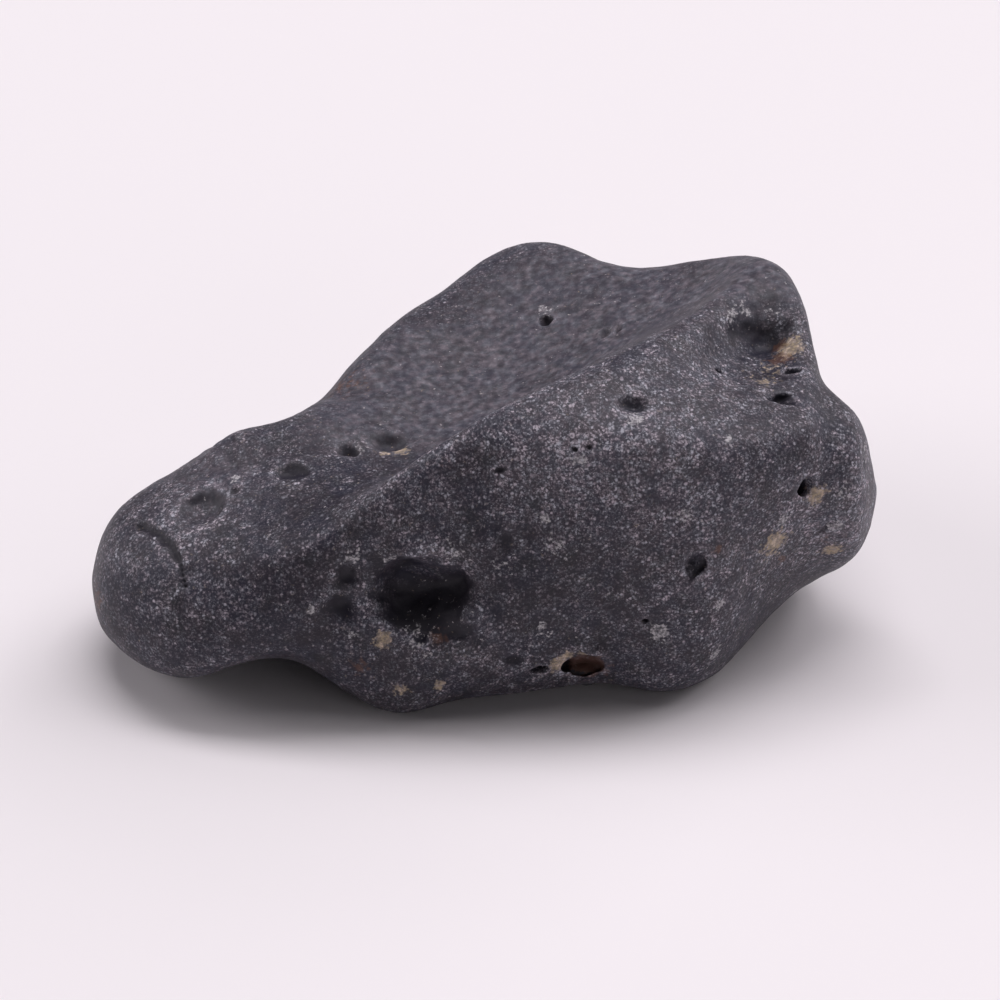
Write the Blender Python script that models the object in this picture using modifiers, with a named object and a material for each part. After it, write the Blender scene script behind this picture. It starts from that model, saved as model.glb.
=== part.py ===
"""A tektite: one lump of natural black glass, about 40 mm long, resting on small flat spots.

The form is a lines plan. Each line runs along the stone from its left end to its right
end and is known at a few places; cross-sections through the lines make a coarse cage,
and a Subdivision Surface rounds it. Swells and dents then move the skin, the underside
is ground flat where the stone rests, and pits and a groove are cut into it.

Sizes are in millimetres until the last step. X runs along the stone, Y away from its
front face and Z up. Y and Z are measured from the spot where the front foot rests.
"""

import math

import bmesh
import bpy
from mathutils import Matrix, Quaternion, Vector
from mathutils.bvhtree import BVHTree

MILLIMETRE = 0.001

# The two ends of the stone, (x, y, z)
LEFT_END = (-19.85, 5.4, 4.3)
RIGHT_END = (19.85, 7.9, 8.0)

# Rounded sections near the ends: x, centre y and z, half depth, half height, and how far
# the section leans towards the front, in degrees
END_SECTIONS = (
    (-19.3, 5.5, 4.1, 2.5, 2.5, 0),
    (-18.6, 5.3, 4.5, 3.5, 3.4, 0),
    (18.6, 7.1, 9.0, 3.0, 4.95, 14),
    (19.3, 7.4, 8.2, 1.8, 3.0, 12),
)

# Lines along the stone, in the order in which they go round it from the front foot over the
# top. Each has its direction from the middle of an end section, in degrees from the back,
# and the places that it passes between the ends, (x, y, z).
LINES = {
    "front heel": (250, (
        (-17.0, 3.2, 0.6), (-14.5, 2.4, 0.4), (-11.9, 2.6, 2.0), (-9.4, 1.6, 2.5), (-6.9, 0.7, 0.3),
        (-4.3, -0.2, -0.8), (-1.8, 0.9, -0.3), (3.3, 1.1, -0.2), (5.9, 1.7, 0.2), (8.4, 0.8, -0.3),
        (11.0, 1.7, -0.2), (13.5, 5.9, 0.0), (16.1, 10.4, 0.5), (17.2, 10.0, 1.4),
    )),
    "belly": (215, (
        (-17.0, 0.8, 2.4), (-14.5, -0.8, 2.8), (-9.4, -1.2, 4.6), (-4.3, -1.4, 3.6), (0.8, -1.0, 5.0),
        (5.9, -0.2, 5.6), (11.0, -0.4, 5.4), (13.5, 2.6, 4.6), (16.1, 6.0, 3.6), (17.2, 6.6, 4.0),
    )),
    "front": (180, (
        (-17.0, 0.3, 4.8), (-14.5, -1.0, 5.4), (-9.4, -1.4, 7.4), (-4.3, -0.4, 9.0), (0.8, -0.2, 11.0),
        (5.9, -0.4, 11.4), (11.0, 0.4, 11.4), (13.5, 1.8, 10.4), (16.1, 3.6, 9.0), (17.2, 4.0, 8.6),
    )),
    "shoulder": (145, (
        (-17.0, 1.1, 7.0), (-14.5, 0.0, 7.6), (-9.4, -0.9, 9.0), (-4.3, 0.3, 12.6), (0.8, 1.2, 15.2),
        (5.9, 0.8, 15.6), (8.4, 0.9, 15.8), (11.0, 1.4, 15.6), (13.5, 2.1, 15.2), (16.1, 3.4, 14.5),
        (17.2, 4.2, 12.6),
    )),
    "lap": (125, (
        (-17.0, 2.2, 8.0), (-14.5, 1.4, 8.9), (-9.4, -0.6, 9.8), (-4.3, 0.9, 13.5), (0.8, 2.0, 16.1),
        (5.9, 3.0, 16.9), (8.4, 4.6, 16.8), (11.0, 6.8, 16.2), (13.5, 8.6, 15.2), (16.1, 6.8, 14.9),
        (17.2, 5.5, 13.7),
    )),
    "crest": (100, (
        (-17.0, 4.0, 8.7), (-14.5, 3.4, 9.6), (-9.4, 0.4, 10.3), (-6.9, 0.7, 11.9), (-4.3, 1.4, 13.8),
        (-1.8, 2.2, 15.3), (0.8, 3.2, 16.6), (3.3, 4.3, 17.2), (5.9, 5.9, 17.5), (8.4, 7.9, 17.5),
        (11.0, 10.7, 17.0), (13.5, 13.8, 16.6), (15.2, 13.6, 16.7), (16.1, 11.0, 15.8), (16.75, 8.0, 14.3),
        (17.2, 7.1, 14.2),
    )),
    "wall": (80, (
        (-17.0, 6.0, 8.8), (-14.5, 5.6, 9.8), (-9.4, 3.8, 10.9), (-4.3, 4.0, 11.6), (0.8, 6.0, 13.2),
        (5.9, 9.6, 14.9), (11.0, 13.6, 15.5), (13.5, 16.0, 16.5), (15.2, 15.6, 17.0), (16.0, 14.0, 16.3),
        (16.4, 12.6, 14.9), (16.75, 9.9, 13.6), (17.2, 8.9, 13.8),
    )),
    "valley": (55, (
        (-17.0, 7.9, 8.3), (-14.5, 7.8, 9.7), (-9.4, 7.4, 11.2), (-4.3, 7.6, 10.8), (0.8, 10.0, 11.0),
        (5.9, 12.8, 12.8), (11.0, 16.6, 14.6), (13.5, 17.6, 16.2), (16.0, 15.5, 15.6), (16.4, 14.4, 13.6),
        (16.75, 11.4, 12.3), (17.2, 10.6, 12.3),
    )),
    "terrace": (30, (
        (-17.0, 9.6, 7.0), (-14.5, 9.8, 9.0), (-9.4, 9.9, 11.2), (-6.9, 10.4, 11.2), (-4.3, 13.4, 10.8),
        (0.8, 17.4, 11.2), (5.9, 17.8, 12.8), (11.0, 19.0, 14.2), (13.5, 18.6, 15.5), (16.0, 16.8, 14.3),
        (16.4, 16.0, 12.4), (16.75, 12.8, 10.7), (17.2, 11.8, 10.7),
    )),
    "back rim": (5, (
        (-17.0, 10.7, 5.4), (-14.5, 11.2, 7.8), (-11.9, 11.2, 9.0), (-9.4, 11.7, 9.7), (-6.9, 16.6, 10.1),
        (-4.3, 20.4, 10.8), (-1.8, 22.4, 10.9), (0.8, 25.2, 12.0), (3.3, 25.3, 12.5), (5.9, 22.4, 12.4),
        (8.4, 21.4, 12.7), (11.0, 20.9, 13.4), (13.5, 19.5, 14.2), (16.1, 17.8, 12.6), (16.75, 15.9, 9.8),
        (17.2, 12.6, 9.0),
    )),
    "back side": (-20, (
        (-17.0, 10.9, 3.6), (-14.5, 13.2, 4.8), (-9.4, 16.0, 5.6), (-4.3, 22.8, 6.2), (0.8, 26.4, 7.0),
        (5.9, 26.2, 7.4), (11.0, 24.2, 7.8), (13.5, 22.2, 8.2), (16.1, 18.6, 8.4), (16.75, 16.6, 8.0),
        (17.2, 13.0, 6.8),
    )),
    "back heel": (-50, (
        (-17.0, 9.0, 1.2), (-14.5, 10.2, 1.2), (-9.4, 12.6, 1.9), (-4.3, 18.6, 1.4), (0.8, 22.4, 0.6),
        (4.0, 21.6, -0.8), (8.4, 20.6, 0.6), (13.5, 18.0, 2.4), (16.1, 15.4, 2.8), (17.2, 12.6, 3.8),
    )),
    "keel": (-80, (
        (-17.0, 6.0, 0.2), (-14.5, 6.0, -0.3), (-9.4, 6.8, 1.8), (-4.3, 8.6, 1.3), (0.8, 11.4, 1.0),
        (5.9, 12.0, 0.7), (11.0, 8.6, 0.8), (13.5, 12.0, 0.8), (16.1, 12.8, 1.1), (17.2, 11.5, 1.8),
    )),
}

# Swells and dents of the skin: place, radius of the area that moves, and how far it
# moves outwards at its middle
SWELLS = (
    ((-6.6, 13.0, 10.6), 2.8, -0.5),
    ((4.6, 0.0, 13.4), 2.2, -0.3),
    ((13.6, 9.8, 15.9), 3.4, -1.1),
    ((11.6, 7.6, 16.1), 2.4, -0.4),
    ((-2.0, 22.5, 6.0), 4.2, -0.9),
    ((5.5, 25.0, 4.5), 3.6, 0.6),
    ((12.5, 21.5, 7.5), 3.4, -0.8),
    ((-9.5, 13.8, 5.5), 3.2, -0.5),
)

# Pits: place, length, width and depth, and the turn of the length from level, in degrees
PITS = {
    "great pit": ((-3.6, -0.7, 8.0), 4.2, 3.6, 1.9, 6),
    "bay of the great pit": ((-1.4, -0.7, 8.5), 2.6, 2.4, 1.0, 0),
    "upper dimple": ((-6.6, -0.8, 8.9), 1.9, 1.7, 0.5, 20),
    "lower dimple": ((-6.9, -1.1, 7.3), 2.2, 1.7, 0.5, 0),
    "right hollow": ((14.1, 10.8, 15.7), 2.7, 2.1, 1.1, 15),
    "slit below the hollow": ((14.7, 6.0, 15.1), 1.5, 0.9, 0.5, 10),
    "dome pit": ((7.4, 3.0, 16.7), 1.6, 1.1, 0.5, 0),
    "terrace hole": ((3.1, 17.6, 11.9), 0.8, 0.9, 0.7, 0),
    "crater": ((-14.1, 4.0, 9.8), 2.5, 2.8, 0.4, 0),
    "arc pit": ((-9.7, 5.4, 11.0), 1.5, 1.2, 0.35, -15),
    "small twin": ((-6.8, 7.3, 11.0), 1.3, 1.0, 0.4, 10),
    "large twin": ((-4.8, 8.2, 10.8), 2.0, 1.6, 0.45, 0),
    "right end hole": ((16.1, 3.3, 11.6), 0.8, 0.9, 0.8, 0),
    "slanting pit": ((10.5, 0.0, 9.1), 1.8, 0.9, 0.7, 38),
    "thin-walled hole": ((4.9, 0.1, 3.1), 2.1, 1.0, 0.9, 0),
    "slot": ((2.8, -0.3, 2.9), 1.0, 0.5, 0.5, 0),
    "back left pit": ((-8.0, 15.4, 4.5), 2.6, 1.9, 0.7, 25),
    "back pit": ((8.5, 25.0, 8.5), 3.2, 2.4, 0.9, -20),
    "back dimple": ((2.5, 26.6, 8.5), 1.4, 1.2, 0.6, 0),
    "back lobe pit": ((14.6, 19.8, 11.0), 1.8, 1.5, 0.6, 30),
    "underside pit": ((-2.5, 9.5, 0.8), 3.4, 2.6, 0.9, 40),
}

# A curved groove on the left end: the places that it passes, and its half width
GROOVE = ((-17.7, 4.6, 8.3), (-17.0, 4.0, 8.6), (-16.2, 3.2, 8.8), (-15.6, 2.2, 8.7), (-15.1, 1.1, 8.3))
GROOVE_RADIUS = 0.2

# How far a cutter's middle stands out of the skin, as a share of its depth
PIT_RISE = 0.15
PIT_SEGMENTS = 14
PIT_RINGS = 8

COLOUR = (0.016, 0.015, 0.017, 1.0)
ROUGHNESS = 0.55

# Cross-sections of the cage: evenly spaced angles along the stone, and two more at the
# notch between the back lobe and the right end
STATION_STEP = 6
NOTCH_STATIONS = (146, 148.2)
POINTS_PER_SPAN = 2
POINTS_ON_TERRACE = 3


def hermite(t, p0, p1, m0, m1):
    """The cubic from p0 to p1 with end slopes m0 and m1."""
    t2 = t * t
    t3 = t2 * t
    return p0 * (2 * t3 - 3 * t2 + 1) + m0 * (t3 - 2 * t2 + t) + p1 * (3 * t2 - 2 * t3) + m1 * (t3 - t2)


def steady_slope(before, here, after):
    """The slope at the middle one of three (parameter, vector) knots, level where the line turns back."""
    rise = (here[1] - before[1]) / (here[0] - before[0])
    fall = (after[1] - here[1]) / (after[0] - here[0])
    return Vector([2 * a * b / (a + b) if a * b > 0 else 0.0 for a, b in zip(rise, fall)])


def curve_value(knots, t):
    """A smooth curve through (parameter, vector) knots, read at t."""
    last = len(knots) - 1
    index = 0
    while index < last - 1 and knots[index + 1][0] < t:
        index += 1
    start, end = knots[index], knots[index + 1]
    width = end[0] - start[0]
    straight = (end[1] - start[1]) / width
    m0 = steady_slope(knots[index - 1], start, end) if index > 0 else straight
    m1 = steady_slope(start, end, knots[index + 2]) if index < last - 1 else straight
    return hermite((t - start[0]) / width, start[1], end[1], m0 * width, m1 * width)


def station_angle(x):
    """The place along the stone as an angle, 0 at the left end and pi at the right end."""
    middle = (LEFT_END[0] + RIGHT_END[0]) / 2
    half = (RIGHT_END[0] - LEFT_END[0]) / 2
    return math.acos(max(-1.0, min(1.0, (middle - x) / half)))


def end_point(section, direction):
    """The place where a direction meets a rounded end section."""
    x, y, z, half_depth, half_height, lean = section
    angle = math.radians(direction)
    tilt = math.radians(lean)
    depth = half_depth * math.cos(angle)
    height = half_height * math.sin(angle)
    return (
        x,
        y + depth * math.cos(tilt) - height * math.sin(tilt),
        z + depth * math.sin(tilt) + height * math.cos(tilt),
    )


def line_knots(direction, places):
    """A line from end to end of the stone, as (angle, point) knots."""
    rounded = [end_point(section, direction) for section in END_SECTIONS]
    whole = sorted([LEFT_END, RIGHT_END, *rounded, *places])
    return [(station_angle(point[0]), Vector(point)) for point in whole]


def ring(corners, names):
    """Points on the smooth closed curve through a section's corners, a few from each line to the next."""
    count = len(corners)
    points = []
    for i, name in enumerate(names):
        before, here, after, beyond = (corners[(i + k) % count] for k in (-1, 0, 1, 2))
        steps = POINTS_ON_TERRACE if name == "terrace" else POINTS_PER_SPAN
        for step in range(steps):
            points.append(hermite(step / steps, here, after, (after - before) / 2, (beyond - here) / 2))
    return points


def station_degrees():
    """The angles of the cage's cross-sections, from the left end to the right end."""
    count = round(180 / STATION_STEP)
    even = [180 * i / count for i in range(1, count)]
    return sorted([*even, *NOTCH_STATIONS])


def make_cage():
    """The coarse closed cage of the stone, one ring of points at each station."""
    names = list(LINES)
    knots = [line_knots(*LINES[name]) for name in names]
    bm = bmesh.new()
    left = bm.verts.new(LEFT_END)
    right = bm.verts.new(RIGHT_END)
    rings = []
    for degrees in station_degrees():
        corners = [curve_value(line, math.radians(degrees)) for line in knots]
        rings.append([bm.verts.new(point) for point in ring(corners, names)])
    size = len(rings[0])
    for j in range(size):
        k = (j + 1) % size
        bm.faces.new((left, rings[0][k], rings[0][j]))
        bm.faces.new((right, rings[-1][j], rings[-1][k]))
        for here, there in zip(rings, rings[1:]):
            bm.faces.new((here[j], here[k], there[k], there[j]))
    bmesh.ops.recalc_face_normals(bm, faces=bm.faces)
    mesh = bpy.data.meshes.new("tektite")
    bm.to_mesh(mesh)
    bm.free()
    return mesh


def clear_scene():
    for item in list(bpy.data.objects):
        bpy.data.objects.remove(item)


def new_object(name, mesh, collection):
    item = bpy.data.objects.new(name, mesh)
    collection.objects.link(item)
    return item


def rounded_mesh(cage, collection):
    """The cage after one level of Subdivision Surface, as a mesh of its own."""
    item = new_object("cage", cage, collection)
    smooth = item.modifiers.new("rounded", "SUBSURF")
    smooth.levels = 1
    smooth.render_levels = 1
    evaluated = item.evaluated_get(bpy.context.evaluated_depsgraph_get())
    mesh = bpy.data.meshes.new_from_object(evaluated)
    bpy.data.objects.remove(item)
    return mesh


def swell(bm, place, radius, height):
    """Moves the skin near a place outwards, fading to nothing at the radius."""
    centre = Vector(place)
    moves = []
    for vertex in bm.verts:
        share = (vertex.co - centre).length / radius
        if share < 1:
            moves.append((vertex, vertex.normal * height * (1 - share * share) ** 2))
    for vertex, move in moves:
        vertex.co += move


def grind_flat(bm):
    """Cuts off what reaches below the resting plane, and closes each cut with a flat face."""
    everything = bm.verts[:] + bm.edges[:] + bm.faces[:]
    bmesh.ops.bisect_plane(bm, geom=everything, plane_co=(0, 0, 0), plane_no=(0, 0, -1), clear_outer=True)
    open_edges = [edge for edge in bm.edges if edge.is_boundary]
    bmesh.ops.holes_fill(bm, edges=open_edges)


def skin_frame(bvh, place, turn):
    """A matrix at the skin's nearest point: X along the turned level line, Z outwards."""
    point, normal, _, _ = bvh.find_nearest(Vector(place))
    level = Vector((1, 0, 0)) if abs(normal.x) < 0.9 else Vector((0, 1, 0))
    across = (level - normal * level.dot(normal)).normalized()
    across.rotate(Quaternion(normal, math.radians(turn)))
    up = normal.cross(across)
    return Matrix.Translation(point) @ Matrix((across, up, normal)).transposed().to_4x4()


def pit_cutter(bvh, name, place, length, width, depth, turn, collection):
    """An ellipsoid set into the skin."""
    bm = bmesh.new()
    bmesh.ops.create_uvsphere(bm, u_segments=PIT_SEGMENTS, v_segments=PIT_RINGS, radius=1)
    reach = depth * (1 + PIT_RISE)
    size = Matrix.Diagonal((length / 2, width / 2, reach, 1))
    rise = Matrix.Translation((0, 0, depth * PIT_RISE))
    bm.transform(skin_frame(bvh, place, turn) @ rise @ size)
    mesh = bpy.data.meshes.new(name)
    bm.to_mesh(mesh)
    bm.free()
    return new_object(name, mesh, collection)


def groove_cutter(bvh, collection):
    """A round bar bent along the groove, half sunk in the skin."""
    curve = bpy.data.curves.new("groove", "CURVE")
    curve.dimensions = "3D"
    curve.bevel_depth = GROOVE_RADIUS
    curve.bevel_resolution = 2
    curve.use_fill_caps = True
    spline = curve.splines.new("POLY")
    spline.points.add(len(GROOVE) - 1)
    for point, place in zip(spline.points, GROOVE):
        point.co = (*bvh.find_nearest(Vector(place))[0], 1)
    bar = new_object("groove curve", curve, collection)
    mesh = bpy.data.meshes.new_from_object(bar.evaluated_get(bpy.context.evaluated_depsgraph_get()))
    bpy.data.objects.remove(bar)
    bm = bmesh.new()
    bm.from_mesh(mesh)
    bmesh.ops.remove_doubles(bm, verts=bm.verts, dist=0.001)
    bmesh.ops.recalc_face_normals(bm, faces=bm.faces)
    bm.to_mesh(mesh)
    bm.free()
    return new_object("groove", mesh, collection)


def cut(stone, cutter):
    """Takes a cutter's shape out of the stone."""
    cutter.hide_render = True
    cutter.display_type = "WIRE"
    boolean = stone.modifiers.new(cutter.name, "BOOLEAN")
    boolean.operation = "DIFFERENCE"
    boolean.solver = "EXACT"
    boolean.object = cutter


def to_world(mesh, offset):
    """Moves a mesh to the stone's own frame and turns millimetres into metres."""
    mesh.transform(Matrix.Scale(MILLIMETRE, 4) @ Matrix.Translation(offset))


def glass():
    material = bpy.data.materials.new("black glass")
    material.use_nodes = True
    shader = material.node_tree.nodes["Principled BSDF"]
    shader.inputs["Base Color"].default_value = COLOUR
    shader.inputs["Roughness"].default_value = ROUGHNESS
    shader.inputs["Metallic"].default_value = 0.0
    return material


def main():
    clear_scene()
    parts = bpy.data.collections.new("tektite")
    cutters = bpy.data.collections.new("cutters")
    bpy.context.scene.collection.children.link(parts)
    bpy.context.scene.collection.children.link(cutters)

    mesh = rounded_mesh(make_cage(), parts)
    mesh.name = "tektite"
    bm = bmesh.new()
    bm.from_mesh(mesh)
    for place, radius, height in SWELLS:
        bm.normal_update()
        swell(bm, place, radius, height)
    grind_flat(bm)
    bm.normal_update()
    bvh = BVHTree.FromBMesh(bm)
    bm.to_mesh(mesh)
    bm.free()
    stone = new_object("tektite", mesh, parts)

    tools = [groove_cutter(bvh, cutters)]
    for name, pit in PITS.items():
        tools.append(pit_cutter(bvh, name, *pit, cutters))

    corners = [vertex.co for vertex in mesh.vertices]
    middle_x = (min(c.x for c in corners) + max(c.x for c in corners)) / 2
    middle_y = (min(c.y for c in corners) + max(c.y for c in corners)) / 2
    offset = Vector((-middle_x, -middle_y, 0))
    to_world(mesh, offset)
    for tool in tools:
        to_world(tool.data, offset)
        cut(stone, tool)
    mesh.materials.append(glass())
    mesh.shade_smooth()


main()
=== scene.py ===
"""A tektite on a pale glossy table under soft studio light.

The stone is one lump of natural black glass, etched and frosted all over. Its skin starts
as a copy of the solid, remeshed finely and smoothed. Pits, a groove and low relief are
pressed into the skin, and masks painted on its points tell the finish where the frost is
dense, where the glass is bare and where soil, rust and pale patches lie. Some masks also
paint light and shade: the denser frost and its haze are partly painted highlight and
sheen, the bare far side of some pits is partly painted shade, and a red-brown patch in the
thin-walled hole is a painted glow of light through its thin wall.

Places on the stone are in millimetres: X along the stone, Z up, and Y away from its front
face, measured from the front foot. Everything else is in metres.
"""

import math
import random
from dataclasses import dataclass

import bmesh
import bpy
import numpy as np
from mathutils import Matrix, Quaternion, Vector, noise
from mathutils.bvhtree import BVHTree


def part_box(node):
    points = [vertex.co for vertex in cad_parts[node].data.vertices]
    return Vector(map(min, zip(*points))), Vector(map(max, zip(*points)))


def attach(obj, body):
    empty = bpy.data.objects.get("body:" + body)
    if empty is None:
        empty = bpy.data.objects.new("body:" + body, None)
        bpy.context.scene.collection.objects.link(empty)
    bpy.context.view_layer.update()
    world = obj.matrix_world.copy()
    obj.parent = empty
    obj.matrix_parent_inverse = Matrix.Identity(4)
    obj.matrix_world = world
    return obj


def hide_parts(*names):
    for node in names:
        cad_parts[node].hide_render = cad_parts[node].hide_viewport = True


MILLIMETRE = 0.001

# The front foot's place along Y in the frame, in millimetres
FRONT_FOOT = -12.468

# Points of the solid's loose triangles that lie closer than this are one point
JOIN_DISTANCE = 0.001

# The skin's mesh: voxel size, rounds of smoothing, and the two steps of each round, the
# second of which gives back the size that the first takes
VOXEL = 0.25
SMOOTH_ROUNDS = 16
SMOOTH_IN = 0.5
SMOOTH_OUT = -0.46

# Where pits have soft rims: place, radius, and rounds of plain smoothing
SOFT_RIMS = (
    ((-3.0, -0.7, 8.2), 3.2, 24),
    ((-0.8, -0.6, 8.8), 2.0, 10),
    ((-6.8, -1.0, 8.1), 2.0, 12),
    ((14.0, 10.4, 15.6), 2.8, 48),
    ((19.4, 7.0, 8.9), 2.5, 10),
)

# Relief of the skin: size of a bump and its height
RELIEF = ((2.6, 0.06), (1.1, 0.02), (0.5, 0.008))

# Seeds of what is drawn at random: the pocks, and the noise of the waver
POCK_SEED = 7
WAVER_SEED = 1

# Shallow pocks all over: how many, the least and most of their width and depth, the least
# and most of their shorter side's share of the longer, and what they change in the finish
POCK_COUNT = 170
POCK_WIDTH = (0.7, 1.7)
POCK_DEPTH = (0.03, 0.09)
POCK_ROUNDNESS = (0.6, 1.0)
POCK_BARE = 0.15
POCK_RIM = 0.1

# A pit's outline wanders: over how long a stretch, and how much
WANDER = ((1.3, 0.2), (0.5, 0.12))

# How far past a pit its finer faces reach
FINE_MARGIN = 0.45

# Rings round a pit, in half widths from its middle: where the lip and the frosted rim are,
# and how broad they are. The breadth of the bare side is a share of the wall.
LIP_AT = 1.1
LIP_SPREAD = 0.14
RIM_AT = 1.15
RIM_SPREAD = 0.16
SIDE_SPREAD = 0.6

# How quickly the side of a frosted pit gets bare and dark towards where it is deepest; this dark side is
# partly bare glass and partly painted shade on the far wall
SIDE_GAIN = 1.7
SIDE_START = 0.3

# Waver of the skin round the pits, which breaks up their rims: size and reach, and the least
# closeness to a pit that counts
WAVER = ((1.6, 0.14), (0.6, 0.07))
WAVER_LEAST = 0.02

# How many times the measure of how the skin bulges is evened out
BULGE_ROUNDS = 12

# What is lower than this is pressed flat on the table
FOOT_HEIGHT = 0.05


@dataclass
class Pit:
    """A pit pressed into the skin, or a swelling where the depth is negative.

    The turn of its length is from level, in degrees. Wall is the share of the pit that its
    side takes, lip the height of its edge, bare how smooth its glass is, and deep the
    direction in which it is deepest, in degrees from its length. Where the floor is frosted,
    only the side is bare, most where the pit is deepest, and its darkness there is partly bare
    glass and partly painted shade on the far wall. Rim is how much denser the frost is at its
    edge, and fine how many times its faces are split.
    """

    place: tuple
    length: float
    width: float
    depth: float
    turn: float = 0.0
    wall: float = 0.5
    lip: float = 0.0
    bare_and_shade: float = 0.8
    deep: float | None = None
    frosted_floor: bool = False
    rim: float = 0.35
    fine: int = 1


def swelling(place, length, width, height):
    """A low swelling, with the same skin as round it."""
    return Pit(place, length, width, -height, wall=1.0, bare_and_shade=0.0, rim=0.0)


# The pits and swellings, in the order in which they are pressed
PITS = {
    "great pit": Pit((-3.3, -0.7, 7.9), 5.0, 3.7, 0.4, turn=4, wall=0.5, bare_and_shade=1.3),
    "brow of the great pit": swelling((-3.4, -0.5, 10.1), 3.4, 1.2, 0.3),
    "bay of the great pit": Pit((-1.8, -0.7, 8.3), 2.4, 2.6, 0.3, wall=1.0, bare_and_shade=1.0, rim=0.0),
    "sill of the bay": swelling((-0.7, -0.8, 6.6), 2.6, 2.1, 0.55),
    "upper dimple": Pit((-6.6, -0.8, 8.9), 2.0, 1.6, 0.08, turn=20, wall=1.0, bare_and_shade=0.7),
    "lower dimple": Pit((-6.9, -1.1, 7.2), 2.1, 1.7, 0.1, wall=1.0, bare_and_shade=0.7),
    "ring": Pit((-3.2, -1.1, 5.4), 1.0, 0.8, 0.15, lip=0.06, bare_and_shade=0.35, fine=2),
    "right hollow": Pit((13.7, 11.0, 15.8), 3.0, 1.8, 0.08, turn=10, wall=0.9, bare_and_shade=0.65),
    "hollow left lobe": Pit((12.9, 10.7, 16.0), 1.5, 1.2, 0.08, wall=1.0, bare_and_shade=0.6),
    "hollow right lobe": Pit((14.9, 11.2, 15.9), 1.2, 1.3, 0.1, wall=1.0, bare_and_shade=0.6),
    "speck by the hollow": Pit((11.8, 7.8, 15.5), 0.6, 0.6, 0.3, wall=0.6, bare_and_shade=1.0, fine=2),
    "notch by the hollow": Pit((15.4, 8.4, 15.0), 1.0, 0.7, 0.3, turn=20, wall=0.6, bare_and_shade=1.0, fine=2),
    "slit below the hollow": Pit((14.8, 6.3, 14.8), 1.5, 0.6, 0.25, turn=18, wall=0.8, bare_and_shade=0.7, fine=2),
    "dome pit": Pit((7.4, 3.0, 16.7), 1.6, 1.2, 0.12, wall=0.7, bare_and_shade=0.6),
    "terrace hole": Pit((3.1, 17.6, 11.9), 0.75, 0.95, 0.6, lip=0.06, bare_and_shade=1.0, fine=2),
    "terrace pock": Pit((6.1, 15.2, 12.8), 0.8, 0.9, 0.25, turn=30, wall=0.6, lip=0.03, fine=2),
    "terrace twin pock": Pit((6.8, 15.1, 13.0), 0.5, 0.9, 0.25, turn=-10, wall=0.6, lip=0.03, fine=2),
    "crater": Pit(
        (-14.2, 3.9, 9.8), 2.5, 2.9, 0.26, wall=0.3, bare_and_shade=1.0, deep=60, frosted_floor=True
    ),
    "dot by the crater": Pit((-12.4, 4.8, 10.3), 0.6, 0.5, 0.12, wall=0.8, bare_and_shade=0.5, fine=2),
    "arc pit": Pit(
        (-9.7, 5.3, 11.0), 1.8, 1.6, 0.2, turn=-15, wall=0.35, bare_and_shade=0.9, deep=70, frosted_floor=True
    ),
    "small twin": Pit((-6.8, 7.3, 11.0), 1.3, 1.2, 0.3, turn=10, wall=0.6, bare_and_shade=0.9),
    "large twin": Pit(
        (-4.8, 8.1, 10.8), 2.1, 2.0, 0.3, wall=0.4, bare_and_shade=1.0, deep=90, frosted_floor=True
    ),
    "right end hole": Pit((16.1, 3.3, 11.55), 0.95, 1.1, 1.4, wall=0.3, bare_and_shade=1.2, fine=2),
    "slanting pit": Pit((10.5, 0.0, 9.0), 1.9, 0.6, 0.22, turn=48, wall=0.8, bare_and_shade=0.8),
    "left shoulder": swelling((-12.4, 8.6, 9.8), 5.0, 4.5, 0.45),
    "thin-walled hole": Pit((4.95, 0.1, 2.9), 2.1, 1.05, 0.65, wall=0.3, lip=0.04, bare_and_shade=1.0, fine=2),
    "thin-walled hole left end": Pit((4.4, 0.1, 2.9), 1.2, 0.9, 0.6, wall=0.4, bare_and_shade=1.2, fine=2),
    "brow of the thin-walled hole": swelling((5.5, 0.0, 3.95), 1.8, 0.8, 0.35),
    "slot": Pit((2.8, -0.3, 2.9), 1.0, 0.5, 0.5, turn=4, wall=0.4, lip=0.02, bare_and_shade=1.0, fine=2),
    "pinhole": Pit((8.0, -0.3, 5.9), 0.4, 0.35, 0.3, wall=0.6, bare_and_shade=1.0, fine=2),
    "low dent": Pit((1.5, -0.7, 3.8), 1.3, 1.0, 0.18, wall=0.8, bare_and_shade=0.7),
    "high dent": Pit((1.1, -0.2, 10.7), 1.5, 1.7, 0.15, turn=20, wall=0.9, bare_and_shade=0.6),
    "crest nick": Pit((4.5, 1.0, 15.4), 0.5, 0.4, 0.15, wall=0.8, fine=2),
    "shoulder nick": Pit((0.8, 0.8, 14.3), 0.7, 0.5, 0.12, wall=0.8, fine=2),
    "second crest nick": Pit((5.2, 1.0, 15.5), 0.4, 0.4, 0.12, wall=0.8, fine=2),
    "end gash": Pit((17.1, 4.1, 8.5), 1.9, 0.5, 0.12, turn=55, wall=1.0, bare_and_shade=0.6),
}

# The curved groove on the left end: the places that it passes, how many steps lie between
# two of them, its half width and depth, how far out its sides are looked for and wander,
# where its edge is in half widths, and how bare it is
GROOVE = (
    (-17.7, 4.6, 8.3),
    (-17.0, 4.0, 8.6),
    (-16.2, 3.2, 8.8),
    (-15.6, 2.2, 8.7),
    (-15.1, 1.1, 8.3),
    (-14.8, 0.3, 7.6),
)
GROOVE_STEPS = 4
GROOVE_HALF_WIDTH = 0.3
GROOVE_DEPTH = 0.17
GROOVE_REACH = 4 * GROOVE_HALF_WIDTH
GROOVE_WANDER = ((0.9, 0.12), (0.35, 0.07))
GROOVE_EDGE = 1.2
GROOVE_BARE = 0.9
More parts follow.
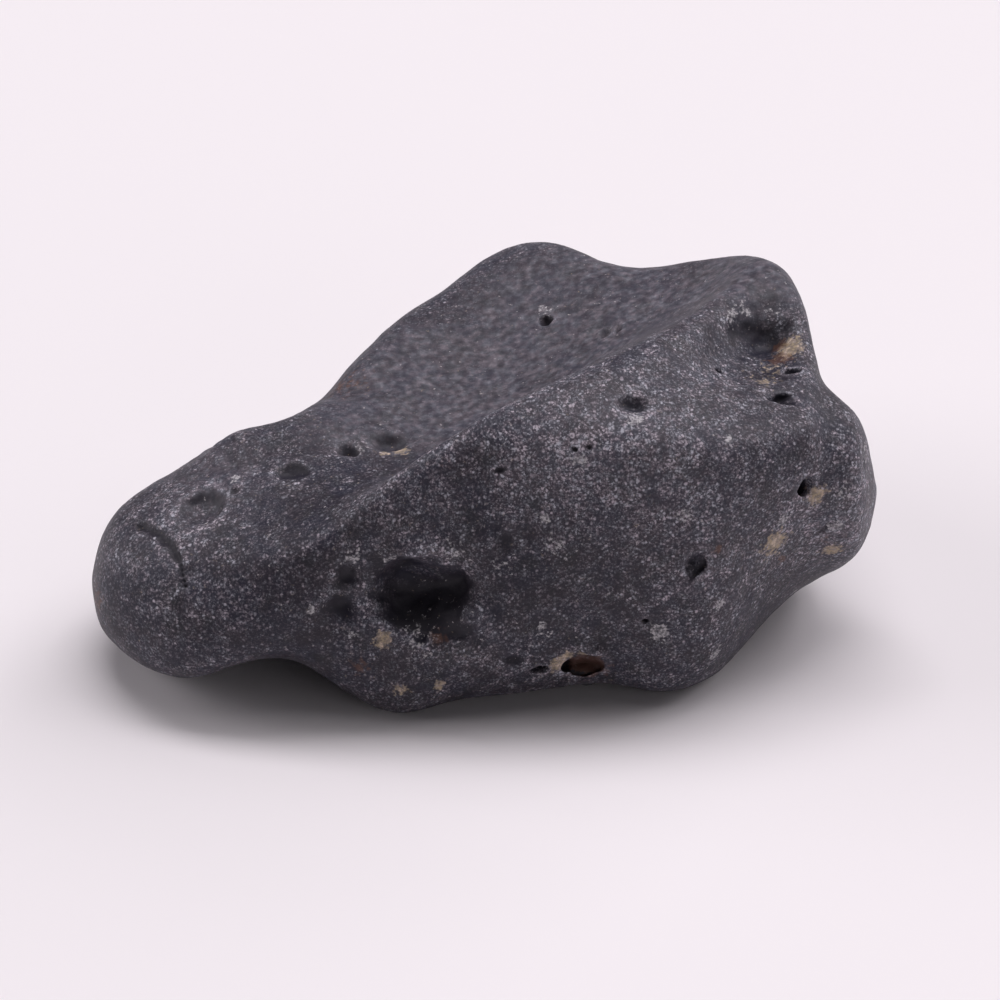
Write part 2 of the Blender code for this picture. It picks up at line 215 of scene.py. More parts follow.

# Marks painted on the skin, by kind: place, radius and strength. The rust kind also holds a painted glow
# in the thin-walled hole.
MARKS = {
    "soil": (
        ((15.3, 10.4, 15.2), 0.7, 1.0),
        ((14.0, 7.6, 15.0), 0.8, 0.4),
        ((14.3, 9.0, 15.2), 0.8, 0.45),
        ((13.4, 8.2, 15.2), 0.6, 0.35),
        ((16.6, 3.6, 10.8), 0.55, 0.9),
        ((14.5, 2.7, 8.5), 0.85, 0.75),
        ((17.5, 5.0, 6.5), 0.55, 0.8),
        ((-5.0, -1.2, 5.4), 0.45, 1.0),
        ((-4.2, -1.3, 2.4), 0.35, 0.8),
        ((-2.2, -1.1, 2.5), 0.4, 0.8),
        ((-4.2, 7.5, 10.7), 0.5, 0.9),
        ((-5.0, 7.2, 10.8), 0.35, 0.7),
        ((3.8, -0.3, 3.2), 0.45, 1.2),
        ((4.2, -0.3, 3.6), 0.35, 1.1),
        ((5.0, -0.2, 3.7), 0.3, 1.0),
    ),
    "rust_and_glow": (
        ((11.7, 0.4, 9.7), 0.3, 1.0),
        ((14.9, 3.4, 7.0), 0.35, 0.8),
        ((-6.2, -1.2, 3.7), 0.6, 0.5),
        ((-2.2, -1.1, 5.4), 0.6, 0.5),
        ((15.0, 11.0, 14.6), 0.5, 0.9),
        ((14.8, 9.8, 14.9), 0.6, 1.0),
        # These two paint a red-brown glow where light shines through the thin wall of the thin-walled
        # hole
        ((5.2, 0.9, 2.9), 1.0, 1.4),
        ((4.8, -0.2, 2.1), 0.4, 0.7),
        ((17.0, 4.6, 7.6), 0.4, 0.5),
        ((-2.0, 0.9, 14.6), 0.6, 0.35),
        ((-19.4, 3.6, 4.4), 1.2, 0.45),
        ((-7.1, 14.0, 10.4), 1.5, 0.4),
    ),
    "pale": (
        ((12.4, 11.8, 16.2), 0.6, 0.4),
        ((13.1, 12.2, 16.2), 0.4, 0.45),
        ((14.4, 12.4, 16.1), 0.5, 0.35),
        ((-3.2, -1.1, 5.4), 1.1, 0.3),
        ((-6.3, 7.5, 11.0), 0.3, 1.0),
        ((4.8, -0.2, 2.2), 0.5, 0.7),
        ((8.8, -0.3, 5.2), 0.5, 0.8),
        ((4.7, 0.7, 15.0), 0.4, 0.7),
        ((3.6, -0.4, 10.4), 0.8, 0.3),
        ((11.8, 0.4, 6.4), 0.3, 0.9),
        ((11.6, 0.9, 3.0), 0.4, 0.7),
        ((12.1, 2.1, 15.2), 0.3, 0.7),
        ((7.5, 2.3, 16.4), 0.5, 0.6),
        ((9.9, 0.2, 12.0), 0.4, 0.6),
        ((-12.5, 5.6, 10.4), 0.25, 0.9),
        ((3.1, 18.5, 12.0), 0.5, 0.5),
        ((-4.6, -0.4, 9.6), 0.5, 0.6),
        ((-1.4, -0.3, 10.0), 0.6, 0.45),
        ((-14.4, 3.2, 9.6), 0.7, 0.35),
        ((17.8, 4.6, 10.6), 0.7, 0.6),
        ((17.6, 4.2, 8.6), 0.5, 0.6),
        ((14.9, 2.8, 9.9), 0.4, 0.6),
        ((-6.6, -1.2, 5.6), 0.3, 0.6),
        ((-8.6, -1.3, 7.3), 0.3, 0.6),
        ((-6.5, -0.3, 9.9), 0.5, 0.6),
        ((15.7, 6.7, 2.6), 0.3, 0.7),
        ((3.0, -0.4, 5.6), 0.5, 0.5),
        ((0.8, -0.5, 9.3), 0.5, 0.45),
        ((3.0, -0.1, 12.0), 0.35, 0.6),
        ((18.8, 6.0, 11.7), 0.6, 0.5),
    ),
}

# Where the frost is denser or thinner than elsewhere: place, radius and change. The denser
# fields on the crest, the right shoulder and the two ends are partly frost and partly a
# painted highlight where those parts catch the light; the thinner ones make parts darker.
FROST_AND_HIGHLIGHT_FIELDS = (
    ((12.0, 1.0, 8.0), 4.5, 0.4),
    ((17.5, 5.0, 9.0), 3.5, 0.9),
    ((9.0, 0.8, 14.0), 3.5, 0.6),
    ((3.5, 0.8, 14.0), 3.0, 0.6),
    ((6.0, 2.8, 16.6), 3.0, 0.3),
    ((-3.0, 0.8, 12.0), 2.5, 0.4),
    ((1.2, -0.3, 9.0), 2.6, -0.15),
    ((-10.0, -1.0, 4.5), 3.5, -0.16),
    ((-9.0, 2.0, 10.2), 4.0, -0.12),
    ((-14.5, 4.0, 9.8), 2.5, 0.3),
    ((-13.0, 0.0, 7.0), 2.5, 0.2),
    ((5.0, -0.4, 4.0), 3.0, 0.1),
    ((-14.0, 5.0, 10.0), 4.0, 0.25),
    ((2.8, 2.2, 15.0), 2.5, 0.4),
    ((11.0, 6.5, 15.9), 3.0, 0.5),
)

# Frost all over, what a full bulge adds to it, and the most that there is
FROST_LEVEL = 0.4
FROST_ON_BULGES = 0.6
FROST_MOST = 1.5

# Where the frost is so fine that its grains blend: place, radius and strength
SOFT_FIELDS = (
    ((-2.0, 13.0, 11.5), 5.5, 1.6),
    ((4.5, 17.5, 12.5), 6.0, 1.6),
    ((13.0, 16.5, 16.0), 4.0, 1.6),
    ((-7.0, 9.5, 11.0), 2.8, 0.9),
    ((-13.5, 6.0, 10.3), 3.5, 0.55),
)

# Camera: where it looks, how far it stands, its angle above the table, and its lens
TARGET = (0.8, 11.0, 5.35)
CAMERA_DISTANCE = 0.4
CAMERA_ELEVATION = 35.0
LENS = 282.6
SENSOR = 36.0

TABLE_SIZE = 12.0
TABLE_COLOUR = (0.9, 0.868, 0.885)
TABLE_ROUGHNESS = 0.25
TABLE_GLOSS = 0.1

# Colours of the finish
VIOLET_GLASS = (0.0115, 0.011, 0.024)
PLUM_GLASS = (0.015, 0.0115, 0.02)
GREY_GLASS = (0.0125, 0.012, 0.0165)
PIT_GLASS = (0.016, 0.014, 0.021)
PINK_FROST = (0.49, 0.435, 0.49)
GREY_FROST = (0.445, 0.44, 0.5)
PALE_PATCH = (0.5, 0.48, 0.5)
BEIGE_SOIL = (0.64, 0.51, 0.4)
BROWN_SOIL = (0.4, 0.32, 0.22)
# Rust, which also paints the red-brown glow of light through the thin wall of the thin-walled hole
RUST_AND_GLOW = (0.14, 0.062, 0.035)

# Sizes of what varies in the finish, in metres, and the most of the grey tint
TINT_SIZE = 0.0021
GREY_TINT_SIZE = 0.0013
GREY_TINT_SHARE = 0.6
FROST_TINT_SIZE = 0.0004
PATCH_EDGE_SIZE = 0.0003
SOIL_EDGE_SIZE = 0.00025
ROUGH_SIZE = 0.00028
FINE_ROUGH_SIZE = 0.00009

# Dust of the frost: its size, how much it varies and how light it is
DUST_SIZE = 0.00015
DUST_SPREAD = 12.5
DUST_LEVEL = 0.055

# Grains of the frost: their size, how rare the strong ones are, and how light they are
SMALL_GRAINS = (0.00009, 4.0, 0.75)
LARGE_GRAINS = (0.00015, 9.0, 1.5)

# Noise that shifts the grains out of line: its size and its reach
SHIFT_SIZE = 0.00016
SHIFT_REACH = 0.00016

# Clumps of the frost: their size, how much frost is between them, and what they add
CLUMP_SIZE = 0.0009
CLUMP_LEAST = 0.3
CLUMP_SPAN = 1.4

# Even haze where the frost is dense, partly frost and partly painted sheen on the parts that catch the
# light
HAZE_AND_SHEEN = 0.05

# Mist, the frost whose grains blend: its size, how much it varies, the size of its drifts,
# how light it is, and how much of the crisp frost it takes the place of
MIST_SIZE = 0.00042
MIST_SPREAD = 4
MIST_DRIFT_SIZE = 0.0012
MIST_LEVEL = 0.145
MIST_COVER = 0.8

# How much the patches cover, and how much more where there is dust
PALE_COVER = 0.2
PALE_ON_DUST = 5
SOIL_COVER = 0.35
SOIL_ON_DUST = 4
RUST_AND_GLOW_COVER = 0.5

# Roughness of bare glass and what frost adds to it, and the shine of the skin
GLASS_ROUGHNESS = 0.55
FROST_ROUGHNESS = 0.3
GLOSS = 0.3
SHEEN = 0.03
SHEEN_ROUGHNESS = 0.4

# Bumps of the finish: their strength, their depth in metres, and what the finer roughness
# and the frost add
BUMP_STRENGTH = 0.35
BUMP_DEPTH = 0.00006
FINE_ROUGH_SHARE = 0.3
FROST_SHARE = 0.4

# The lights: elevation and azimuth in degrees, size in metres, and brightness
LIGHTS = {
    "overhead box": (76, 78, (1.7, 0.6), 6.9),
    "top card": (84, 270, (0.8, 0.8), 1.6),
    "upper right card": (51, 21, (1.1, 0.7), 3.1),
    "right card": (25, 35, (1.8, 1.2), 2.2),
    "left card": (23, 170, (1.4, 1.2), 3.2),
    "front card": (18, 310, (1.2, 1.0), 0.8),
}
LIGHT_DISTANCE = 2.0
LIGHT_COLOUR = (1.0, 0.958, 0.993)
ROOM_COLOUR = (0.96, 0.93, 0.97, 1.0)
ROOM_BRIGHTNESS = 0.05


def place_in_frame(place):
    """A place on the stone, in metres in the frame."""
    return Vector((place[0], place[1] + FRONT_FOOT, place[2])) * MILLIMETRE


def shown(name, data):
    """A new object in the scene that holds the data."""
    item = bpy.data.objects.new(name, data)
    bpy.context.scene.collection.objects.link(item)
    return item


def to_stone_units():
    """Turns metres in the frame into millimetres from the front foot."""
    return Matrix.Translation((0, -FRONT_FOOT, 0)) @ Matrix.Scale(1 / MILLIMETRE, 4)


def joined_solid(node):
    """A bmesh of the solid, its loose triangles joined."""
    bm = bmesh.new()
    bm.from_mesh(node.data)
    bm.transform(to_stone_units())
    bmesh.ops.remove_doubles(bm, verts=bm.verts, dist=JOIN_DISTANCE)
    return bm


def even_skin(bm):
    """The surface again as a bmesh of even small faces."""
    source = bpy.data.meshes.new("even skin")
    bm.to_mesh(source)
    bm.free()
    holder = shown("even skin", source)
    remesh = holder.modifiers.new("even faces", "REMESH")
    remesh.mode = "VOXEL"
    remesh.voxel_size = VOXEL
    mesh = bpy.data.meshes.new_from_object(holder.evaluated_get(bpy.context.evaluated_depsgraph_get()))
    bpy.data.objects.remove(holder)
    skin = bmesh.new()
    skin.from_mesh(mesh)
    bpy.data.meshes.remove(mesh)
    bpy.data.meshes.remove(source)
    return skin


def smooth(bm, rounds):
    """Evens out the skin without shrinking it."""
    for _ in range(rounds):
        for factor in (SMOOTH_IN, SMOOTH_OUT):
            bmesh.ops.smooth_vert(
                bm, verts=bm.verts, factor=factor, use_axis_x=True, use_axis_y=True, use_axis_z=True
            )


def soften_rims(bm):
    """Rounds the rims of the pits that have soft ones."""
    for place, radius, rounds in SOFT_RIMS:
        near = [vertex for vertex in bm.verts if (vertex.co - Vector(place)).length < radius]
        for _ in range(rounds):
            bmesh.ops.smooth_vert(
                bm, verts=near, factor=SMOOTH_IN, use_axis_x=True, use_axis_y=True, use_axis_z=True
            )


def add_fine_faces(bm, centres):
    """Splits the faces near (centre, radius) pairs."""
    points = np.array([vertex.co for vertex in bm.verts])
    near = np.zeros(len(points), bool)
    for centre, radius in centres:
        near |= np.linalg.norm(points - np.array(centre), axis=1) < radius
    bm.verts.index_update()
    edges = [edge for edge in bm.edges if all(near[vertex.index] for vertex in edge.verts)]
    bmesh.ops.subdivide_edges(bm, edges=edges, cuts=1, use_grid_fill=True)


def refine_skin(bm):
    """Finer faces round the pits and the groove, twice at the smallest pits."""
    for level in (1, 2):
        centres = [
            (pit.place, max(pit.length, pit.width) / 2 + FINE_MARGIN / level)
            for pit in PITS.values()
            if pit.fine >= level
        ]
        if level == 1:
            centres += [(place, GROOVE_HALF_WIDTH + FINE_MARGIN) for place in groove_path()]
        add_fine_faces(bm, centres)


def groove_path():
    """Places along the groove, a short step apart."""
    path = []
    for start, end in zip(GROOVE, GROOVE[1:]):
        shares = [step / GROOVE_STEPS for step in range(GROOVE_STEPS)]
        path += [tuple(Vector(start).lerp(Vector(end), share)) for share in shares]
    return [*path, GROOVE[-1]]


def pit_axes(bvh, place, turn):
    """The skin's nearest point, and the pit's length, width and outward directions there."""
    point, normal, _, _ = bvh.find_nearest(Vector(place))
    level = Vector((1, 0, 0)) if abs(normal.x) < 0.9 else Vector((0, 1, 0))
    along = (level - normal * level.dot(normal)).normalized()
    along.rotate(Quaternion(normal, math.radians(turn)))
    return np.array(point), np.array([along, normal.cross(along), normal])


def steps_up(value):
    """A smooth rise from 0 to 1 as the value goes from 0 to 1."""
    held = np.clip(value, 0, 1)
    return held * held * (3 - 2 * held)


def ring(reach, middle, spread):
    """1 where the reach is at the middle, fading on both sides."""
    return np.exp(-(((reach - middle) / spread) ** 2))


def noise_at(points, size):
    """Smooth noise, about -1 to 1, whose bumps are of a size."""
    return np.array([noise.noise(Vector(point) / size) for point in points])


class Skin:
    """The stone's points as they are pressed and painted."""

    def __init__(self, bm):
        self.bm = bm
        bm.normal_update()
        self.bvh = BVHTree.FromBMesh(bm)
        self.points = np.array([vertex.co for vertex in bm.verts])
        self.normals = np.array([vertex.normal for vertex in bm.verts])
        self.masks = {name: np.zeros(len(self.points)) for name in ("hollow", "frost_and_highlight", "soft", *MARKS)}
        self.rims = np.zeros(len(self.points))
        self.dice = random.Random(POCK_SEED)

    def press(self, pit):
        """Presses a pit in, and marks its inside as bare glass. On a frosted floor it marks only the
        side where the pit is deepest, whose darkness is partly painted shade.
        """
        centre, axes = pit_axes(self.bvh, pit.place, pit.turn)
        near = np.flatnonzero(np.linalg.norm(self.points - centre, axis=1) < max(pit.length, pit.width))
        across = (self.points[near] - centre) @ axes.T
        x = across[:, 0] / (pit.length / 2)
        y = across[:, 1] / (pit.width / 2)
        angle = np.arctan2(y, x)
        reach = np.hypot(x, y)
        if pit.depth > 0:
            for size, amount in WANDER:
                reach = reach * (1 + amount * noise_at(self.points[near], size))
        inside = steps_up((1 - reach) / pit.wall)
        share = 1.0
        if pit.deep is not None:
            share = 0.5 + 0.5 * np.clip(reach, 0, 1) * np.cos(angle - math.radians(pit.deep))
        move = pit.lip * ring(reach, LIP_AT, LIP_SPREAD) - pit.depth * inside * share
        self.points[near] += move[:, None] * axes[2]
        self.rims[near] = np.maximum(self.rims[near], pit.rim * ring(reach, RIM_AT, RIM_SPREAD))
        bare_and_shade = pit.bare_and_shade * inside * share
        # On a frosted floor the side is bare and dark where the pit is deepest, partly as painted shade
        # on its far wall
        if pit.frosted_floor:
            side = ring(reach, 1 - pit.wall / 2, SIDE_SPREAD * pit.wall)
            bare_and_shade = pit.bare_and_shade * side * np.clip(SIDE_GAIN * share - SIDE_START, 0, 1)
        self.masks["hollow"][near] = np.maximum(self.masks["hollow"][near], bare_and_shade)

    def press_groove(self):
        """Presses the curved groove in along its path, thinner at its ends."""
        distance = np.full(len(self.points), np.inf)
        path = groove_path()
        for place, share in zip(path, np.linspace(-1, 1, len(path))):
            centre = np.array(self.bvh.find_nearest(Vector(place))[0])
            thinning = 1 + abs(share) ** 3
            distance = np.minimum(distance, thinning * np.linalg.norm(self.points - centre, axis=1))
        near = np.flatnonzero(distance < GROOVE_REACH)
        for size, amount in GROOVE_WANDER:
            distance[near] += amount * GROOVE_REACH * noise_at(self.points[near], size)
        inside = steps_up(GROOVE_EDGE - distance / GROOVE_HALF_WIDTH)
        self.points -= GROOVE_DEPTH * inside[:, None] * self.normals
        self.masks["hollow"] = np.maximum(self.masks["hollow"], GROOVE_BARE * inside)

    def press_pocks(self):
        """Presses shallow pocks in all over the stone."""
        for _ in range(POCK_COUNT):
            place = self.points[self.dice.randrange(len(self.points))]
            width = self.dice.uniform(*POCK_WIDTH)
            self.press(
                Pit(
                    tuple(place),
                    width,
                    width * self.dice.uniform(*POCK_ROUNDNESS),
                    self.dice.uniform(*POCK_DEPTH),
                    turn=self.dice.uniform(0, 180),
                    wall=1.0,
                    bare_and_shade=POCK_BARE,
                    rim=POCK_RIM,
                )
            )

    def raise_relief(self):
        """Moves the skin in and out in low bumps of several sizes."""
        for size, height in RELIEF:
            self.points += height * noise_at(self.points, size)[:, None] * self.normals

    def waver(self):
        """Shifts the skin round the pits a little, so that no rim stays a clean curve."""
        share = np.zeros(len(self.points))
        for pit in PITS.values():
            share = np.maximum(share, self.closeness(pit.place, max(pit.length, pit.width)))
        moved = np.flatnonzero(share > WAVER_LEAST)
        # Unseeded, the vector noise is a different one in each run
        noise.seed_set(WAVER_SEED)
        for size, reach in WAVER:
            shift = np.array([noise.noise_vector(Vector(point) / size) for point in self.points[moved]])
            self.points[moved] += reach * share[moved, None] * shift

    def paint_marks(self):
        """Paints the soil, rust and pale patches as masks; the rust mask also holds the painted glow in
        the thin-walled hole.
        """
        for kind, marks in MARKS.items():
            for place, radius, strength in marks:
                self.masks[kind] = np.maximum(self.masks[kind], strength * self.closeness(place, radius))

    def paint_frost_and_highlight(self):
        """Frost is denser where the skin bulges and in set fields, and thin inside the pits. The denser
        fields are partly a painted highlight where the stone catches the light.
        """
        frost_and_highlight = FROST_LEVEL + FROST_ON_BULGES * np.clip(self.bulge(), -1, 1) + self.rims
        for place, radius, change in FROST_AND_HIGHLIGHT_FIELDS:
            frost_and_highlight += change * self.closeness(place, radius)
        self.masks["frost_and_highlight"] = np.clip(frost_and_highlight * (1 - self.masks["hollow"]), 0, FROST_MOST)
        for place, radius, strength in SOFT_FIELDS:
            soft = steps_up(strength * self.closeness(place, radius))
            self.masks["soft"] = np.maximum(self.masks["soft"], soft)

    def closeness(self, place, radius):
        """1 at a place, fading to nothing a little past the radius."""
        distance = np.linalg.norm(self.points - np.array(place), axis=1)
        return np.exp(-((distance / radius) ** 2))

    def bulge(self):
        """How strongly the skin bulges at each point, from about -1 in a hollow to 1 on a ridge."""
        ends = np.array([[vertex.index for vertex in edge.verts] for edge in self.bm.edges])
        step = self.points[ends[:, 1]] - self.points[ends[:, 0]]
        turn = self.normals[ends[:, 1]] - self.normals[ends[:, 0]]
        bend = np.einsum("ij,ij->i", step, turn) / np.maximum(np.einsum("ij,ij->i", step, step), 1e-9)
        count = np.bincount(ends.ravel(), minlength=len(self.points))
        value = np.bincount(ends.ravel(), np.repeat(bend, 2), len(self.points)) / count
        for _ in range(BULGE_ROUNDS):
            mean = np.repeat((value[ends[:, 0]] + value[ends[:, 1]]) / 2, 2)
            value = np.bincount(ends.ravel(), mean, len(self.points)) / count
        return value

    def rest_on_table(self, lowest, highest):
        """Keeps the points inside the solid's box, with flat feet."""
        self.points = np.clip(self.points, lowest, highest)
        self.points[self.points[:, 2] < FOOT_HEIGHT, 2] = 0.0

    def update(self):
        """Puts the moved points back in the bmesh, and reads the normals again."""
        for vertex, point in zip(self.bm.verts, self.points):
            vertex.co = point
        self.bm.normal_update()
        self.normals = np.array([vertex.normal for vertex in self.bm.verts])


def build_stone(node):
    """The stone's finished skin as an object in the frame."""
    lowest, highest = (to_stone_units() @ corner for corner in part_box("tektite"))
    bm = even_skin(joined_solid(node))
    smooth(bm, SMOOTH_ROUNDS)
    soften_rims(bm)
    refine_skin(bm)
    smooth(bm, 1)
    skin = Skin(bm)
    skin.raise_relief()
    skin.press_pocks()
    for pit in PITS.values():
        skin.press(pit)
    skin.press_groove()
    skin.waver()
    skin.rest_on_table(np.array(lowest), np.array(highest))
    skin.update()
    skin.paint_marks()
    skin.paint_frost_and_highlight()
    mesh = bpy.data.meshes.new("tektite skin")
    bm.to_mesh(mesh)
    bm.free()
    mesh.transform(to_stone_units().inverted())
    for name, mask in skin.masks.items():
        layer = mesh.attributes.new(name, "FLOAT", "POINT")
        layer.data.foreach_set("value", mask.astype(np.float32))
    mesh.shade_smooth()
    stone = shown("tektite_skin", mesh)
    mesh.materials.append(frosted_glass())
    return stone


class Value:
    """A socket in an expression: arithmetic on it adds Math nodes."""

    def __init__(self, finish, socket):
        self.finish = finish
        self.socket = socket

    def maths(self, operation, *terms, clamp=False):
        """Adds a Math node of the operation on the terms."""
        settings = {"operation": operation, "use_clamp": clamp}
        return self.finish.node("ShaderNodeMath", settings, dict(enumerate(terms)))

    def __add__(self, other):
        return self.maths("ADD", self, other)

    def __sub__(self, other):
        return self.maths("SUBTRACT", self, other)

    def __rsub__(self, other):
        return self.maths("SUBTRACT", other, self)

    def __mul__(self, other):
        return self.maths("MULTIPLY", self, other)

    def __pow__(self, other):
        return self.maths("POWER", self, other)

    __radd__ = __add__
    __rmul__ = __mul__

    def held(self):
        """The value kept between 0 and 1."""
        return self.maths("ADD", self, 0.0, clamp=True)

    def exponential(self):
        """The number e to the power of the value."""
        return self.maths("EXPONENT", self)

    def rise(self, start, end):
        """A smooth rise from 0 at start to 1 at end, which may be values too."""
        settings = {"interpolation_type": "SMOOTHSTEP"}
        sockets = {"Value": self, "From Min": start, "From Max": end}
        return self.finish.node("ShaderNodeMapRange", settings, sockets)


class Finish:
    """A material under construction."""

    def __init__(self, name):
        self.material = bpy.data.materials.new(name)
        self.material.use_nodes = True
        self.tree = self.material.node_tree
        self.shader = self.tree.nodes["Principled BSDF"]
        self.place = self.node("ShaderNodeTexCoord", output="Object")

    def node(self, kind, settings=None, sockets=None, output=0):
        """Adds a node, makes its settings and feeds its sockets; gives one of its outputs."""
        made = self.tree.nodes.new(kind)
        for name, setting in (settings or {}).items():
            setattr(made, name, setting)
        for name, value in (sockets or {}).items():
            self.feed(made.inputs[name], value)
        return Value(self, made.outputs[output])

    def feed(self, socket, value):
        """Links a value to a socket, or sets the socket to a number or a colour."""
        if isinstance(value, Value):
            self.tree.links.new(value.socket, socket)
        elif isinstance(value, tuple) and len(value) == 3 and socket.type == "RGBA":
            socket.default_value = (*value, 1.0)
        else:
            socket.default_value = value

    def mask(self, name):
        """A mask painted on the skin's points."""
        return self.node("ShaderNodeAttribute", {"attribute_name": name}, output="Fac")

    def noise(self, size, detail=2.0, roughness=0.5, output=0):
        """Noise whose features are about a size in metres."""
        sockets = {"Vector": self.place, "Scale": 1 / size, "Detail": detail, "Roughness": roughness}
        return self.node("ShaderNodeTexNoise", {}, sockets, output)

    def shaken(self, size, reach):
        """The place on the piece, shifted at random by up to about half the reach."""
        sockets = {0: self.noise(size, output="Color"), 1: (reach, reach, reach), 2: self.place}
        return self.node("ShaderNodeVectorMath", {"operation": "MULTIPLY_ADD"}, sockets)

    def cells(self, size, vector):
        """Cells of about a size in metres: the distance from a cell's middle, and a random
        number of its own."""
        sockets = {"Vector": vector, "Scale": 1 / size}
        distance = self.node("ShaderNodeTexVoronoi", {}, sockets, "Distance")
        colour = Value(self, distance.socket.node.outputs["Color"])
        number = self.node("ShaderNodeSeparateColor", {}, {"Color": colour}, "Red")
        return distance, number

    def mix(self, factor, colour_a, colour_b):
        """The first colour at 0 and the second at 1."""
        made = self.node("ShaderNodeMix", {"data_type": "RGBA"}, {0: factor}, 2)
        self.feed(made.socket.node.inputs[6], colour_a)
        self.feed(made.socket.node.inputs[7], colour_b)
        return made

    def set(self, **sockets):
        """Feeds the shader's sockets, whose names are written with _ for a space."""
        for name, value in sockets.items():
            self.feed(self.shader.inputs[name.replace("_", " ")], value)


def dust_of(finish):
    """Fine uneven dust, most of it faint."""
    return ((finish.noise(DUST_SIZE, 2.0, 0.65) - 0.5) * DUST_SPREAD).exponential() * DUST_LEVEL


def grains(finish, vector, size, rarity, level):
    """Light grains of a size, each with its own strength; the rarer, the fewer are strong."""
    distance, number = finish.cells(size, vector)
    return number**rarity * (1 - distance.rise(0.05, 0.8)) * level


def patches(finish, mask, size):
    """A painted mask with a ragged edge."""
    return (finish.mask(mask) * 1.5 + (finish.noise(size, 3.0) - 0.5) * 2.2).rise(0.35, 0.9)


def glass_colour(finish):
    """Near-black glass of three tints, and a fourth one in the pits."""
    tint = finish.noise(TINT_SIZE, 1.0).rise(0.38, 0.62)
    grey = finish.noise(GREY_TINT_SIZE, 1.0).rise(0.5, 0.7) * GREY_TINT_SHARE
    glass = finish.mix(grey, finish.mix(tint, VIOLET_GLASS, PLUM_GLASS), GREY_GLASS)
    return finish.mix(finish.mask("hollow").held(), glass, PIT_GLASS)


def frost_and_highlight_cover(finish, dust):
    """How much the frost covers the glass: crisp grains, which blend into mist in places. Its haze and
    its denser fields are partly painted sheen and highlight.
    """
    frost_and_highlight = finish.mask("frost_and_highlight")
    soft = finish.mask("soft")
    shaken = finish.shaken(SHIFT_SIZE, SHIFT_REACH)
    clumps = finish.noise(CLUMP_SIZE, 3.0).rise(0.25, 0.75) * CLUMP_SPAN + CLUMP_LEAST
    small = grains(finish, shaken, *SMALL_GRAINS)
    large = grains(finish, shaken, *LARGE_GRAINS)
    crisp = (dust + small + large) * frost_and_highlight * clumps + frost_and_highlight * frost_and_highlight * HAZE_AND_SHEEN
    mist = ((finish.noise(MIST_SIZE, 3.0) - 0.5) * MIST_SPREAD).exponential()
    drifts = finish.noise(MIST_DRIFT_SIZE) + 0.5
    return (crisp * (1 - soft * MIST_COVER) + mist * drifts * MIST_LEVEL * soft).held()


def stained(finish, colour, dust):
    """The colour with the pale patches, soil and rust laid over it; the rust also paints the red-brown
    glow of light through the thin-walled hole.
    """
    pale = patches(finish, "pale", PATCH_EDGE_SIZE) * (PALE_COVER + dust * PALE_ON_DUST)
    colour = finish.mix(pale.held(), colour, PALE_PATCH)
    soil_colour = finish.mix(finish.noise(PATCH_EDGE_SIZE).rise(0.4, 0.6), BEIGE_SOIL, BROWN_SOIL)
    soil = patches(finish, "soil", SOIL_EDGE_SIZE) * (SOIL_COVER + dust * SOIL_ON_DUST)
    colour = finish.mix(soil.held(), colour, soil_colour)
    rust_and_glow = patches(finish, "rust_and_glow", PATCH_EDGE_SIZE) * RUST_AND_GLOW_COVER
    return finish.mix(rust_and_glow, colour, RUST_AND_GLOW)


def frosted_glass():
    """Etched black glass, with dense light grains, bare dark pits and traces of soil, and with painted
    highlight and sheen in its denser frost, painted shade on the far side of some pits, and a painted
    glow in the thin-walled hole.
    """
    finish = Finish("frosted black glass")
    dust = dust_of(finish)
    light = frost_and_highlight_cover(finish, dust)
    frost_colour = finish.mix(finish.noise(FROST_TINT_SIZE, 1.0).rise(0.4, 0.6), PINK_FROST, GREY_FROST)
    colour = stained(finish, finish.mix(light, glass_colour(finish), frost_colour), dust)

    fine_bumps = finish.noise(FINE_ROUGH_SIZE, 1.0) * FINE_ROUGH_SHARE
    bumps = finish.noise(ROUGH_SIZE, 3.0) + fine_bumps + light * FROST_SHARE
    sockets = {"Strength": BUMP_STRENGTH, "Distance": BUMP_DEPTH, "Height": bumps}
    relief = finish.node("ShaderNodeBump", {}, sockets, "Normal")
    roughness = GLASS_ROUGHNESS + light * FROST_ROUGHNESS
    finish.set(Base_Color=colour, Roughness=roughness, Normal=relief)
    finish.set(Specular_IOR_Level=GLOSS, Sheen_Weight=SHEEN, Sheen_Roughness=SHEEN_ROUGHNESS)
    return finish.material


def build_table():
    """A pale, faintly glossy table top."""
    bm = bmesh.new()
    bmesh.ops.create_grid(bm, x_segments=1, y_segments=1, size=TABLE_SIZE / 2)
    mesh = bpy.data.meshes.new("table")
    bm.to_mesh(mesh)
    bm.free()
    finish = Finish("pale table top")
    finish.set(Base_Color=TABLE_COLOUR, Roughness=TABLE_ROUGHNESS, Specular_IOR_Level=TABLE_GLOSS)
    mesh.materials.append(finish.material)
    table = shown("table", mesh)


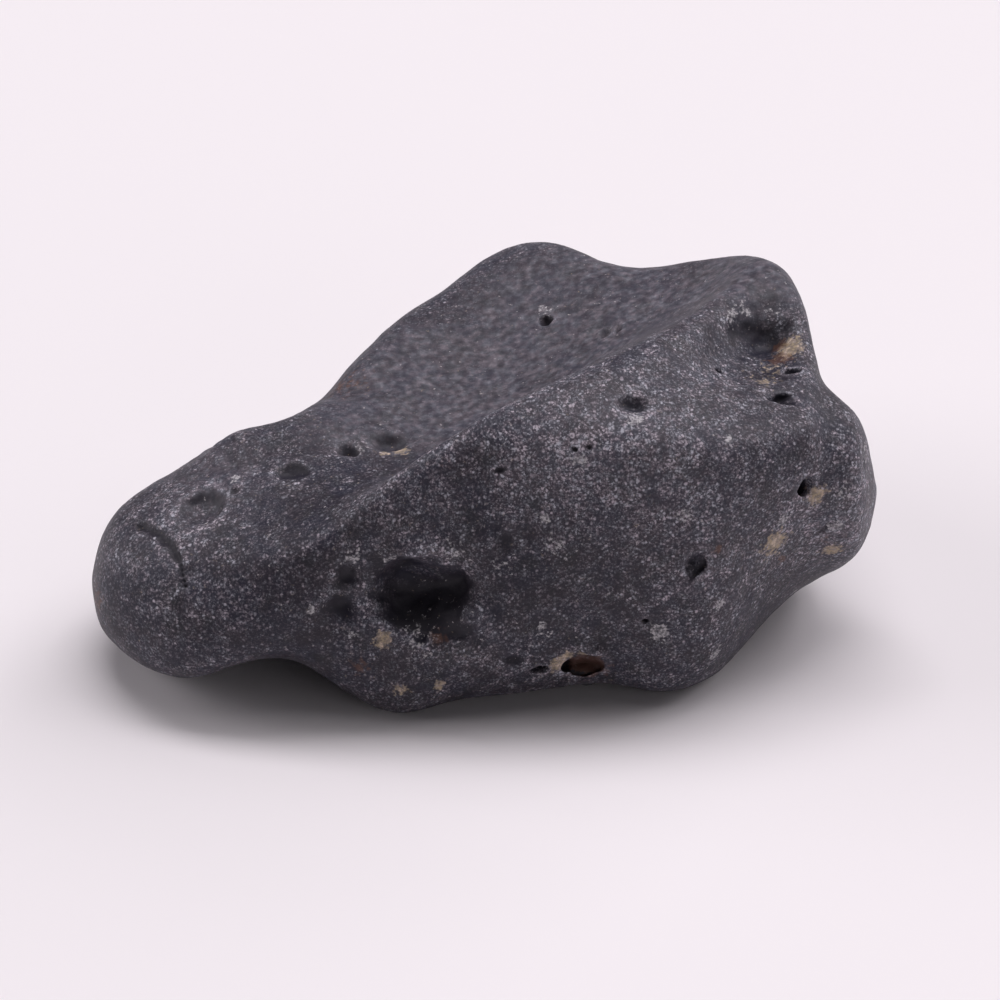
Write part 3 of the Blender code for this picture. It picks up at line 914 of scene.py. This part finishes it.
def soft_light(name, elevation, azimuth, size, brightness):
    """A soft rectangular light that faces the stone. The azimuth is from +X."""
    data = bpy.data.lights.new(name, "AREA")
    data.shape = "RECTANGLE"
    data.size, data.size_y = size
    data.energy = brightness * math.pi * size[0] * size[1]
    data.color = LIGHT_COLOUR
    light = shown(name, data)
    up, round_stone = math.radians(elevation), math.radians(azimuth)
    direction = Vector(
        (math.cos(up) * math.cos(round_stone), math.cos(up) * math.sin(round_stone), math.sin(up))
    )
    light.location = direction * LIGHT_DISTANCE
    light.rotation_euler = direction.to_track_quat("Z", "Y").to_euler()
    light.visible_camera = False


def build_light():
    """A long box light overhead, cards above and at the sides, and a dim room."""
    for name, settings in LIGHTS.items():
        soft_light(name, *settings)
    world = bpy.data.worlds.new("pale room")
    world.use_nodes = True
    background = world.node_tree.nodes["Background"]
    background.inputs["Color"].default_value = ROOM_COLOUR
    background.inputs["Strength"].default_value = ROOM_BRIGHTNESS
    bpy.context.scene.world = world
    bpy.context.scene.view_settings.view_transform = "Standard"


def build_camera():
    """The camera, level from side to side and tilted down at the stone."""
    data = bpy.data.cameras.new("camera")
    data.lens = LENS
    data.sensor_width = SENSOR
    data.clip_start = 0.01
    data.clip_end = 20.0
    camera = shown("camera", data)
    elevation = math.radians(CAMERA_ELEVATION)
    back = Vector((0.0, -math.cos(elevation), math.sin(elevation)))
    camera.location = place_in_frame(TARGET) + back * CAMERA_DISTANCE
    camera.rotation_euler = (math.pi / 2 - elevation, 0.0, 0.0)
    bpy.context.scene.camera = camera


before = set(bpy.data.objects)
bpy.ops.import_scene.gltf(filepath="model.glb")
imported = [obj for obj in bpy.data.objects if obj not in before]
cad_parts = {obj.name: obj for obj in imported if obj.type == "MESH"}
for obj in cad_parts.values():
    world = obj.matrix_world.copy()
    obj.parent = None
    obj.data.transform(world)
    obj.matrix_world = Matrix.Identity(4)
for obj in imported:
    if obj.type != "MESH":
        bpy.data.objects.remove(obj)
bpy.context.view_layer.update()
build_camera()
build_light()
build_table()
tektite = build_stone(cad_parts["tektite"])
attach(tektite, "root")
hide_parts("tektite")

bpy.context.view_layer.update()
